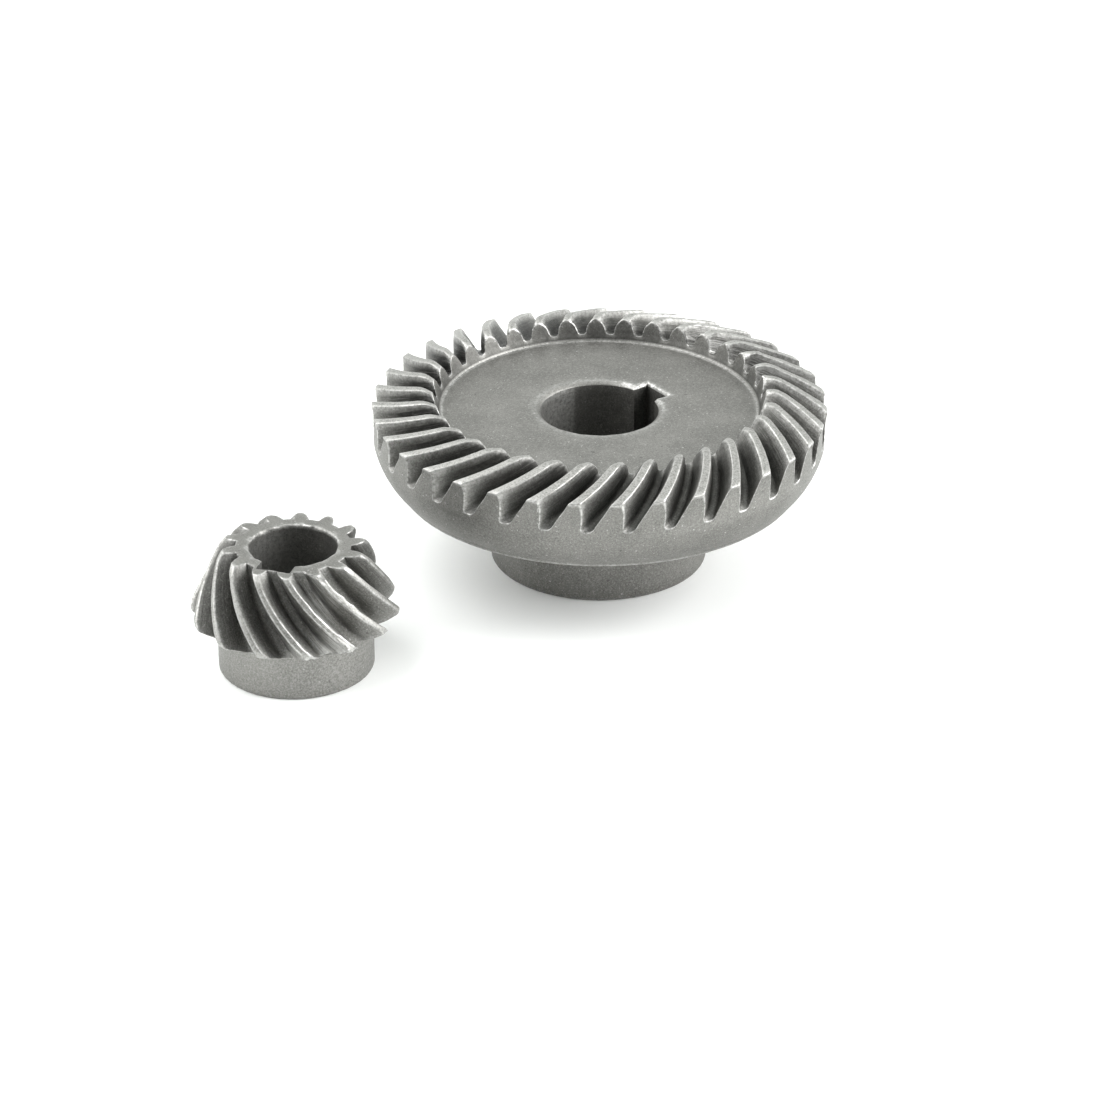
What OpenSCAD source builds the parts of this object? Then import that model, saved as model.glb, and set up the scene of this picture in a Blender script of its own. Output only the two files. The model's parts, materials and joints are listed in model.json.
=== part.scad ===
// Spiral bevel gear pair: a crown wheel and a pinion, each one solid piece of steel.
// Row frame: origin on the crown wheel's bore axis, on the surface the wheel stands on, Z up.
// The pinion stands on the same surface, its bore axis on the X axis.

/* [Tooth system] */
// Number of teeth on the crown wheel
wheel_teeth = 35; // [24:1:48]
// Number of teeth on the pinion
pinion_teeth = 14; // [10:1:20]
// Module at the large end of the teeth
heel_module = 1.515; // [1:0.005:3]
// Pressure angle in degrees
pressure_angle = 20; // [14.5:0.5:25]
// Spiral angle at the middle of the face, in degrees
spiral_angle = 35; // [0:1:45]
// Radius of the circular cutter that sets the lengthwise curve
cutter_radius = 24; // [15:1:80]
// Length of a tooth along the pitch cone
face_width = 7.5; // [5:0.1:10]
// Height of a crown wheel tooth above the pitch cone, at the large end
wheel_addendum = 1.3; // [0.6:0.05:2]
// Height of a pinion tooth above the pitch cone, at the large end
pinion_addendum = 1.7; // [0.8:0.05:2.4]
// Gap between a tooth tip and the floor of the mating gear, at the large end
tip_clearance = 0.42; // [0.2:0.02:0.8]
// Play between the flanks of a meshed pair, at the large end
backlash = 0.12; // [0.02:0.01:0.4]
// Share of a pitch the pinion teeth gain in thickness and the wheel teeth give up
thickness_shift = 0.02; // [0:0.005:0.06]

/* [Crown wheel] */
// Bore diameter
wheel_bore_d = 14; // [10:0.5:16]
// Keyway width
wheel_key_w = 4; // [3:0.5:5]
// Keyway depth beyond the bore wall
wheel_key_depth = 1.7; // [1:0.1:2.4]
// Hub diameter
wheel_hub_d = 25.8; // [22:0.2:30]
// Distance from the hub's standing face to the pitch cone apex
wheel_mounting = 29.2; // [27:0.1:34]
// Radius of the flat web face inside the teeth
web_face_r = 18.7; // [16:0.1:19]
// Height of that web face above the hub's standing face
web_face_z = 19.05; // [17:0.1:20]
// Radius of the upright outer band
band_r = 26.7; // [26:0.05:27.5]
// Height of the band's lower edge, where the bowl starts
band_low_z = 15.4; // [12:0.1:16]
// Radius of the rounded lower rim of the bowl
bowl_low_r = 24.2; // [18:0.1:25]
// Height of the underside of the bowl
bowl_low_z = 10.4; // [7:0.1:13]
// Chamfer at the web face's end of the bore
wheel_bore_chamfer = 0.6; // [0.2:0.05:1.2]

/* [Pinion] */
// Distance from the crown wheel's axis to the pinion's axis as the pair is laid out
axis_distance = 44.3; // [42:0.1:80]
// Bore diameter
pinion_bore_d = 10; // [6:0.5:11]
// Keyway width
pinion_key_w = 4; // [2:0.5:4.5]
// Keyway depth beyond the bore wall
pinion_key_depth = 1.4; // [0.8:0.1:2]
// Hub diameter
pinion_hub_d = 17.8; // [15:0.1:20]
// Distance from the hub's standing face to the pitch cone apex
pinion_mounting = 32.8; // [31:0.1:36]
// Height of the flat small end above the hub's standing face
pinion_height = 15; // [13:0.1:17]
// Diameter of the solid core that the gaps don't cut into at the small end
pinion_core_d = 13.1; // [11.6:0.1:14]
// Chamfer at the small end of the bore
pinion_bore_chamfer = 0.2; // [0.1:0.05:0.8]

/* [Layout] */
// Turn of the crown wheel's teeth about its bore axis
wheel_tooth_turn = 5.2; // [-10:0.1:10]
// Turn of the pinion's teeth about its bore axis
pinion_tooth_turn = -5.6; // [-26:0.1:26]
// Direction of the crown wheel's keyway, anticlockwise from X
wheel_key_turn = -2; // [-180:1:180]
// Direction of the pinion's keyway, anticlockwise from X
pinion_key_turn = -146; // [-180:0.5:180]

/* [Hidden] */
wheel_pitch_angle = atan2(wheel_teeth, pinion_teeth);
pinion_pitch_angle = 90 - wheel_pitch_angle;
wheel_pitch_r = wheel_teeth * heel_module / 2;
pinion_pitch_r = pinion_teeth * heel_module / 2;
heel_dist = wheel_pitch_r / sin(wheel_pitch_angle);
toe_dist = heel_dist - face_width;
mid_dist = heel_dist - face_width / 2;
wheel_dedendum = pinion_addendum + tip_clearance;
pinion_dedendum = wheel_addendum + tip_clearance;
wheel_tip_angle = wheel_pitch_angle + atan(wheel_addendum / heel_dist);
wheel_root_angle = wheel_pitch_angle - atan(wheel_dedendum / heel_dist);
pinion_tip_angle = pinion_pitch_angle + atan(pinion_addendum / heel_dist);
pinion_root_angle = pinion_pitch_angle - atan(pinion_dedendum / heel_dist);
// Half the play, as an angle about each gear's own axis
wheel_play = backlash / wheel_pitch_r * 90 / PI / 2;
pinion_play = backlash / pinion_pitch_r * 90 / PI / 2;
wheel_half_tooth = 90 / wheel_teeth - 360 * thickness_shift / wheel_teeth / 2 - wheel_play;
pinion_half_tooth = 90 / pinion_teeth + 360 * thickness_shift / pinion_teeth / 2 - pinion_play;
// Distance from the apex to the cutter's centre on the crown plane
cutter_centre = sqrt(pow(mid_dist, 2) + pow(cutter_radius, 2)
  - 2 * mid_dist * cutter_radius * sin(spiral_angle));
// How far a cutter reaches past the metal, so that it always cuts clean through
over = 0.6;
// Least overlap that keeps two faces from lying in one plane
sliver = 0.01;
// How far the gap cutters run past the teeth: pinion small end and heel, wheel toe and heel
run_out = [2.5, 1.6, 1.5, 2.2];
// Steps down one flank, round one corner of the floor, and along the tooth
wheel_steps = [4, 2, 7];
pinion_steps = [5, 3, 9];
// Chamfer at the hub's end of either bore
hub_end_chamfer = 0.4;
// Small edge breaks and steps of the turned blanks
hub_edge = 0.3;
tip_edge = 0.4;
toe_step = 0.5;
bowl_edge = 0.5;
bowl_bulge = 0.3;
// Rounded corner at the tooth root, as a share of the floor's half width
root_round = 0.65;
// Height of that corner, as a share of the tooth's height
corner_share = 0.2;

// Polar angle on the crown plane of the lengthwise curve at cone distance r
function crown_turn(r) =
  acos((r * r + pow(cutter_centre, 2) - pow(cutter_radius, 2)) / (2 * r * cutter_centre));

// Turn about the gear's axis of the tooth section at cone distance r, zero at the middle
function length_turn(r, pitch) = (crown_turn(r) - crown_turn(mid_dist)) / sin(pitch);

// Angle unrolled by a spherical involute between its base cone and the cone angle t
function unrolled(t, base) = t <= base ? 0
  : acos(min(1, cos(t) / cos(base))) / sin(base) - acos(min(1, tan(base) / tan(t)));

// Half width of a gap, as an angle about the axis, at the cone angle t
function half_gap(t, pitch, base, half_tooth, pitch_step) =
  pitch_step / 2 - half_tooth - unrolled(pitch, base) + unrolled(max(t, base), base);

// Point at cone distance r, cone angle t and turn f; the apex is the origin, the gear lies below
function on_cone(r, t, f) = [r * sin(t) * cos(f), r * sin(t) * sin(f), -r * cos(t)];

// One side of the gap's outline, from above the tip down to the middle of the floor:
// pairs of cone angle and half width
function gap_side(pitch, base, tip, root, half_tooth, step, over_angle, steps) =
  let (corner = root + (tip - root) * corner_share)
  let (corner_w = half_gap(corner, pitch, base, half_tooth, step))
  concat(
    [[tip + over_angle, half_gap(tip + over_angle, pitch, base, half_tooth, step)]],
    [for (i = [0 : steps[0]])
      let (t = tip + (corner - tip) * i / steps[0])
      [t, half_gap(t, pitch, base, half_tooth, step)]],
    [for (i = [1 : steps[1]])
      let (a = 90 * i / steps[1])
      [corner + (root - corner) * sin(a), corner_w * (1 - root_round * (1 - cos(a)))]]
  );

// The solid that is removed to leave one gap; hand is +1 or -1
module gap_cutter(pitch, tip, root, half_tooth, teeth, near, far, steps, hand) {
  base = asin(sin(pitch) * cos(pressure_angle));
  step = 360 / teeth;
  over_angle = atan(over / heel_dist);
  side = gap_side(pitch, base, tip, root, half_tooth, step, over_angle, steps);
  n = len(side);
  ring = concat(
    [for (p = side) [p[0], p[1]]],
    [for (i = [n - 1 : -1 : 0]) [side[i][0], -side[i][1]]]
  );
  m = len(ring);
  last = steps[2];
  points = [for (j = [0 : last])
    let (r = near + (far - near) * j / last)
    for (p = ring)
    on_cone(r, p[0], p[1] + hand * length_turn(r, pitch))];
  faces = concat(
    [for (i = [0 : n - 2]) [i, m - 2 - i, i + 1]],
    [for (i = [0 : n - 2]) [i, m - 1 - i, m - 2 - i]],
    [for (i = [0 : n - 2]) [last * m + i + 1, last * m + m - 2 - i, last * m + i]],
    [for (i = [0 : n - 2]) [last * m + m - 2 - i, last * m + m - 1 - i, last * m + i]],
    [for (j = [0 : last - 1]) for (i = [0 : m - 1])
      [j * m + i, (j + 1) * m + (i + 1) % m, (j + 1) * m + i]],
    [for (j = [0 : last - 1]) for (i = [0 : m - 1])
      [j * m + i, j * m + (i + 1) % m, (j + 1) * m + (i + 1) % m]]
  );
  polyhedron(points = points, faces = faces, convexity = 6);
}

// Turned blank of the crown wheel, as radius and height pairs
module wheel_blank() {
  back = [cos(wheel_pitch_angle), sin(wheel_pitch_angle)];
  heel_tip = [wheel_pitch_r, wheel_mounting - wheel_pitch_r / tan(wheel_pitch_angle)]
    + wheel_addendum * back;
  toe = toe_dist / heel_dist;
  toe_tip = [heel_tip[0] * toe, wheel_mounting - (wheel_mounting - heel_tip[1]) * toe];
  root_run = tan(wheel_root_angle);
  toe_root_r = web_face_r + toe_step;
  rotate_extrude($fn = 144) polygon([
    [0, 0],
    [wheel_hub_d / 2 - hub_edge, 0],
    [wheel_hub_d / 2, hub_edge],
    [wheel_hub_d / 2, bowl_low_z],
    [bowl_low_r - bowl_edge, bowl_low_z],
    [bowl_low_r, bowl_low_z + bowl_edge],
    [(bowl_low_r + band_r) / 2 + bowl_bulge, (bowl_low_z + band_low_z) / 2],
    [band_r, band_low_z],
    [band_r, heel_tip[1] - tip_edge],
    [heel_tip[0], heel_tip[1]],
    toe_tip,
    [toe_root_r, wheel_mounting - toe_root_r / root_run],
    [web_face_r, web_face_z],
    [0, web_face_z]
  ]);
}

// Turned blank of the pinion
module pinion_blank() {
  back = [cos(pinion_pitch_angle), sin(pinion_pitch_angle)];
  heel_tip = [pinion_pitch_r, pinion_mounting - pinion_pitch_r / tan(pinion_pitch_angle)]
    + pinion_addendum * back;
  heel_root = [pinion_pitch_r, pinion_mounting - pinion_pitch_r / tan(pinion_pitch_angle)]
    - pinion_dedendum * back;
  top_tip_r = (pinion_mounting - pinion_height) * tan(pinion_tip_angle);
  rotate_extrude($fn = 120) polygon([
    [0, 0],
    [pinion_hub_d / 2 - hub_edge, 0],
    [pinion_hub_d / 2, hub_edge],
    [pinion_hub_d / 2, heel_root[1] - hub_edge],
    heel_tip,
    [top_tip_r, pinion_height],
    [0, pinion_height]
  ]);
}

// Bore with a keyway and a chamfer at each end, to be removed
module keyed_bore(bore_d, key_w, key_depth, key_turn, height, chamfer) {
  translate([0, 0, -over]) cylinder(d = bore_d, h = height + 2 * over, $fn = 96);
  translate([0, 0, -sliver])
    cylinder(d1 = bore_d + 2 * hub_end_chamfer, d2 = bore_d, h = hub_end_chamfer, $fn = 96);
  translate([0, 0, height - chamfer + sliver])
    cylinder(d1 = bore_d, d2 = bore_d + 2 * chamfer, h = chamfer, $fn = 96);
  rotate([0, 0, key_turn]) translate([0, -key_w / 2, -over])
    cube([bore_d / 2 + key_depth, key_w, height + 2 * over]);
}

module crown_wheel() {
  color([0.58, 0.57, 0.54]) difference() {
    wheel_blank();
    translate([0, 0, wheel_mounting])
      for (i = [0 : wheel_teeth - 1])
        rotate([0, 0, wheel_tooth_turn + (i + 0.5) * 360 / wheel_teeth])
          gap_cutter(wheel_pitch_angle, wheel_tip_angle, wheel_root_angle, wheel_half_tooth,
            wheel_teeth, toe_dist - run_out[2], heel_dist + run_out[3], wheel_steps, 1);
    keyed_bore(wheel_bore_d, wheel_key_w, wheel_key_depth, wheel_key_turn, web_face_z,
      wheel_bore_chamfer);
  }
}

module pinion() {
  near = (pinion_mounting - pinion_height) / cos(pinion_root_angle) - run_out[0];
  color([0.6, 0.59, 0.56]) translate([-axis_distance, 0, 0]) difference() {
    union() {
      difference() {
        pinion_blank();
        translate([0, 0, pinion_mounting])
          for (i = [0 : pinion_teeth - 1])
            rotate([0, 0, pinion_tooth_turn + (i + 0.5) * 360 / pinion_teeth])
              gap_cutter(pinion_pitch_angle, pinion_tip_angle, pinion_root_angle,
                pinion_half_tooth, pinion_teeth, near, heel_dist + run_out[1], pinion_steps, -1);
      }
      translate([0, 0, over])
        cylinder(d = pinion_core_d, h = pinion_height - over, $fn = 96);
    }
    keyed_bore(pinion_bore_d, pinion_key_w, pinion_key_depth, pinion_key_turn, pinion_height,
      pinion_bore_chamfer);
  }
}

crown_wheel();
pinion();
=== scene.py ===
"""Spiral bevel gear pair: a crown wheel and a pinion in blasted steel, standing side by side.

Each gear's skin is one closed net of rows and columns. The columns run round the gear, a fixed
number to each tooth pitch. The rows run up the bore, out over the end face, along the teeth,
down the outside and back under the hub. The keyway is part of the bore's outline.
Lengths in the gear functions are millimetres, with the gear's axis as Z and its standing face
at zero. They become metres in the row frame when the mesh is made.
"""

import json
import math

import bpy
import numpy as np
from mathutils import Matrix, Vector


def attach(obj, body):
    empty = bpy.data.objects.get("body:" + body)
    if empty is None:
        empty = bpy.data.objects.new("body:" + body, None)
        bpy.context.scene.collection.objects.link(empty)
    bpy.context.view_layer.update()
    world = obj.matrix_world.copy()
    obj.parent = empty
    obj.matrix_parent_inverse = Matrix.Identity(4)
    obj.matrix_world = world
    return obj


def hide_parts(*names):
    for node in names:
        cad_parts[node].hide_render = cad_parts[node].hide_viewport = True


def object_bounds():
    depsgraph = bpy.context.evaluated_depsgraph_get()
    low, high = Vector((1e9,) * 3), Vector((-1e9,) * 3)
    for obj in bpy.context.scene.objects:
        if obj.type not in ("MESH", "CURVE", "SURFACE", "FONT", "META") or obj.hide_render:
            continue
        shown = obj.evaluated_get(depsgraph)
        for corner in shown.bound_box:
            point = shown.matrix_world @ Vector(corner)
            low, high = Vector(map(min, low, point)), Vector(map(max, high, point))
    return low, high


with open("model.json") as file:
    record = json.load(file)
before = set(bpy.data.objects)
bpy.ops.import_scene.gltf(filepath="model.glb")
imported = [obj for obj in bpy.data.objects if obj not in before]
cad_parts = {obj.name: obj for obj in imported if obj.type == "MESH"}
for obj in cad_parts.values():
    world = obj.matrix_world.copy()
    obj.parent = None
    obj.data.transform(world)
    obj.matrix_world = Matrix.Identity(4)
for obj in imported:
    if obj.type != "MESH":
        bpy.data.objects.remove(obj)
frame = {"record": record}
cad_low, cad_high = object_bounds()
MM = 0.001

# ---------------------------------------------------------------- tooth system, as in the CAD
WHEEL_TEETH, PINION_TEETH = 35, 14
HEEL_MODULE = 1.515
PRESSURE_ANGLE = math.radians(20)
SPIRAL_ANGLE = math.radians(35)
CUTTER_RADIUS = 24.0
FACE_WIDTH = 7.5
WHEEL_ADDENDUM, PINION_ADDENDUM = 1.3, 1.7
TIP_CLEARANCE = 0.42
BACKLASH = 0.12
THICKNESS_SHIFT = 0.02
ROOT_ROUND, CORNER_SHARE = 0.65, 0.2

HEEL_DIST = math.hypot(WHEEL_TEETH, PINION_TEETH) * HEEL_MODULE / 2
TOE_DIST = HEEL_DIST - FACE_WIDTH
MID_DIST = HEEL_DIST - FACE_WIDTH / 2
CUTTER_CENTRE = math.sqrt(
    MID_DIST**2 + CUTTER_RADIUS**2 - 2 * MID_DIST * CUTTER_RADIUS * math.sin(SPIRAL_ANGLE)
)

# ---------------------------------------------------------------- how the net is laid out
ROOT_STEPS = (90, 64, 40, 18, 0)  # degrees round each corner of a gap's floor
TIP_STEPS = (0.3, 0.55, 0.8, 1.0)  # shares of the way round a tooth's tip
FLOOR_COLUMNS = 10  # columns of an end face that lie below one gap's floor
FLANK_STEPS = 3  # flank columns that say where the flank comes out of an end face
ARCH_HALF = 0.75  # how far to each side of a tooth its end is arched
LAND_SHARE = 0.06  # share of the tooth's depth that counts as its land
WORN_REACH = 0.1  # how far the wear reaches from the edge of a land
LEAST_WALL = 0.08  # wall kept between the keyway and a tooth gap
EDGE_STEPS = (0.25, 0.5, 0.75)  # shares of the way round the end of a tooth

# ---------------------------------------------------------------- dirt and painted shade, and painted light in the bore
FULL_GRIME_AND_SHADE = 0.20  # a tooth gap's, from a tenth of its depth down
# painted shade inside the bore
BORE_SHADE = 0.12
BORE_LIT_TURN, BORE_LIT_EDGE = math.radians(141.7), 0.42  # painted light on the left side of the bore wall as the camera sees it
HEEL_EASE, HEEL_EASE_REACH = 0.75, 2.4  # how much less the gaps are darkened at the heel, over how far

# The face that a point lies on is the third number of its lay, so each face has its own streaks.
HUB_END, BORE_WALL, TOP_FACE, TOE_FACE = 1.0, 2.0, 4.0, 5.0
BOWL_SIDE, BOWL_BASE, HUB_SIDE, HEEL_FACE = 6.0, 7.0, 8.0, 9.0
TEETH_FROM, TOOTH_APART = 20.0, 3.7


def crown_turn(r):
    """Polar angle on the crown plane of the cutter's arc at cone distance r."""
    cosine = (r * r + CUTTER_CENTRE**2 - CUTTER_RADIUS**2) / (2 * r * CUTTER_CENTRE)
    return np.arccos(cosine)


def unrolled(t, base):
    """Angle unrolled by a spherical involute between its base cone and the cone angle t."""
    first = np.arccos(np.minimum(1, np.cos(t) / math.cos(base))) / math.sin(base)
    return first - np.arccos(np.minimum(1, math.tan(base) / np.tan(t)))


def bezier(a, b, c, u):
    """Point at u on the quadratic curve from a to c that is drawn towards b."""
    return tuple((1 - u) ** 2 * p + 2 * u * (1 - u) * q + u * u * s for p, q, s in zip(a, b, c))


def wrapped(angle):
    """The same direction, as an angle within half a turn of zero."""
    return (angle + math.pi) % (2 * math.pi) - math.pi


def ring(r, z, angle):
    """Points at radius r and height z in the directions given."""
    return np.stack([r * np.cos(angle), r * np.sin(angle), z * np.ones_like(angle)], axis=-1)


class Teeth:
    """The tooth surfaces of one gear, as cone distance r, cone angle t and turn f."""

    def __init__(self, count, mate, addendum, dedendum, shift, hand, tooth_turn, mounting):
        self.count, self.hand, self.mounting = count, hand, mounting
        self.step = 2 * math.pi / count
        self.pitch = math.atan2(count, mate)
        self.base = math.asin(math.sin(self.pitch) * math.cos(PRESSURE_ANGLE))
        self.tip = self.pitch + math.atan(addendum / HEEL_DIST)
        self.root = self.pitch - math.atan(dedendum / HEEL_DIST)
        self.first_gap = math.radians(tooth_turn) + self.step / 2
        pitch_r = count * HEEL_MODULE / 2
        self.half_tooth = self.step / 4 + self.step * shift / 2 - BACKLASH / pitch_r / 4

    def half_gap(self, t):
        """Half the angle between two teeth at cone angle t."""
        t = np.maximum(t, self.base + 1e-9)
        rise = unrolled(t, self.base) - unrolled(self.pitch, self.base)
        return self.step / 2 - self.half_tooth + rise

    def length_turn(self, r):
        """Turn of the tooth section at cone distance r, against the middle of the face."""
        return self.hand * (crown_turn(r) - crown_turn(MID_DIST)) / math.sin(self.pitch)

    def half_outline(self, tip_round, flank_points):
        """Cone angle and turn from the middle of a gap's floor to the middle of a tooth's land."""
        corner = self.root + (self.tip - self.root) * CORNER_SHARE
        corner_w = float(self.half_gap(corner))
        points = [(self.root, 0.0)]
        for a in np.radians(ROOT_STEPS):
            w = corner_w * (1 - ROOT_ROUND * (1 - math.cos(a)))
            points.append((corner + (self.root - corner) * math.sin(a), w))
        near = self.tip - tip_round / MID_DIST
        for t in np.linspace(corner, near, flank_points + 2)[1:]:
            points.append((t, float(self.half_gap(t))))
        start, edge = points[-1], (self.tip, float(self.half_gap(self.tip)))
        rounded = tip_round / (MID_DIST * math.sin(self.tip))
        widest = 0.7 * (self.step / 2 - edge[1])
        land = (self.tip, min(edge[1] + rounded, edge[1] + widest))
        points += [bezier(start, edge, land, u) for u in TIP_STEPS]
        points.append((self.tip, (land[1] + self.step / 2) / 2))
        points.append((self.tip, self.step / 2))
        return points

    def land_middle(self, turn, tip_round):
        """1 in the middle of each land, falling to 0 at its edges."""
        from_gap = np.abs((turn - self.first_gap + self.step / 2) % self.step - self.step / 2)
        edge = float(self.half_gap(self.tip))
        reach = 1.5 * tip_round / (MID_DIST * math.sin(self.tip))
        return np.clip((from_gap - edge) / reach, 0, 1)


# ---------------------------------------------------------------- noise
def lattice_noise(points, cell, seed):
    """Smooth value noise from 0 to 1 on points in millimetres, the same on each run."""
    q = np.asarray(points) / cell + 512.0
    whole = np.floor(q).astype(np.int64)
    part = q - whole
    part = part * part * (3 - 2 * part)
    total = np.zeros(q.shape[:-1])
    for corner in range(8):
        step = np.array([corner >> k & 1 for k in range(3)])
        x, y, z = np.moveaxis(whole + step, -1, 0)
        mixed = (x * 73856093 ^ y * 19349663 ^ z * 83492791 ^ seed * 2654435761) & 0x7FFFFFFF
        mixed = (mixed ^ mixed >> 15) * 1103515245 & 0x7FFFFFFF
        mixed = (mixed ^ mixed >> 12) * 2246822519 & 0x7FFFFFFF
        weight = np.prod(np.where(step, part, 1 - part), axis=-1)
        total += weight * ((mixed >> 8 & 0xFFFF) / 65535.0)
    return total


# ---------------------------------------------------------------- the net
class Net:
    """Rows of points round the gear's axis, with what the material reads at each point.

    edge: worn or burred edge, and painted light on one side of the bore, 0 to 1.
    gap: dirt and painted shade, 0 on bare steel. land: the crest of a tooth, where a highlight
    is painted; it also paints light on the pinion's hub.
    marks: how much the machining marks show.
    lay: where the point is along and across the machining marks, and which face it is on.
    closing_shift: how many columns the spiral has carried the last row on from the first.
    """

    def __init__(self, columns):
        self.columns, self.closing_shift = columns, 0
        self.rows, self.facts, self.lays = [], [], []

    def add_points(self, p, edge=0.0, gap=0.0, land=0.0, marks=0.0, lay=(0.0, 0.0, 0.0)):
        """A row of given points. Each fact is one number, or one for each column."""
        full = np.ones(self.columns)
        self.rows.append(p)
        self.facts.append(np.stack([x * full for x in (edge, gap, land, marks)], axis=-1))
        self.lays.append(np.stack([x * full for x in lay], axis=-1))

    def add(self, r, z, turn, edge=0.0, gap=0.0, land=0.0, marks=0.0, lay=None):
        """A row at radius r and height z, in the directions given."""
        if lay is None:
            lay = (turn * r, r + z, 0.0)
        self.add_points(ring(r, z, turn), edge, gap, land, marks, lay)


class EndFace:
    """The turned face that the teeth end on, as a line of radius and height from tip to base.

    The crest of each tooth rounds off towards it: over reach millimetres it loses drop, its
    edges soften over soft, and bulge lowers its sides into an arch. Dirt and painted shade
    darken its base.
    """

    SAMPLES = 600

    def __init__(self, outline, mounting, drop, reach, soft, bulge=0.0, grime_and_shade=0.0, flat=False):
        self.drop, self.reach, self.soft = drop, reach, soft
        self.bulge, self.grime_and_shade, self.flat = bulge, grime_and_shade, flat
        outline = np.array(outline, float)
        steps = np.hypot(*np.diff(outline, axis=0).T)
        knots = np.concatenate([[0], np.cumsum(steps)])
        self.length = knots[-1]
        self.along = np.linspace(0, self.length, self.SAMPLES)
        self.r = np.interp(self.along, knots, outline[:, 0])
        self.z = np.interp(self.along, knots, outline[:, 1])
        self.angle = np.minimum.accumulate(np.arctan2(self.r, mounting - self.z))

    def meets(self, t):
        """How far down the face a line from the apex at cone angle t comes out."""
        return np.interp(t, self.angle[::-1], self.along[::-1])

    def at(self, along):
        """Radius and height at a distance down the face."""
        return np.interp(along, self.along, self.r), np.interp(along, self.along, self.z)


def tooth_columns(teeth, tip_round, flank_points):
    """Every column's cone angle, turn, distance round the outline and tooth number.

    The last value is how many columns there are to a tooth pitch.
    """
    half = teeth.half_outline(tip_round, flank_points)
    whole = [(t, -f) for t, f in half[:0:-1]] + half[:-1]
    t, f = np.array(whole).T
    flat = np.stack([t * MID_DIST, f * MID_DIST * math.sin(teeth.pitch)], axis=-1)
    run = np.concatenate([[0], np.cumsum(np.hypot(*np.diff(flat, axis=0).T))])
    gaps = np.arange(teeth.count)
    turn = teeth.first_gap + gaps[:, None] * teeth.step + f[None, :]
    tooth = np.repeat(gaps, len(whole))
    return np.tile(t, teeth.count), turn.ravel(), np.tile(run, teeth.count), tooth, len(whole)


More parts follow.
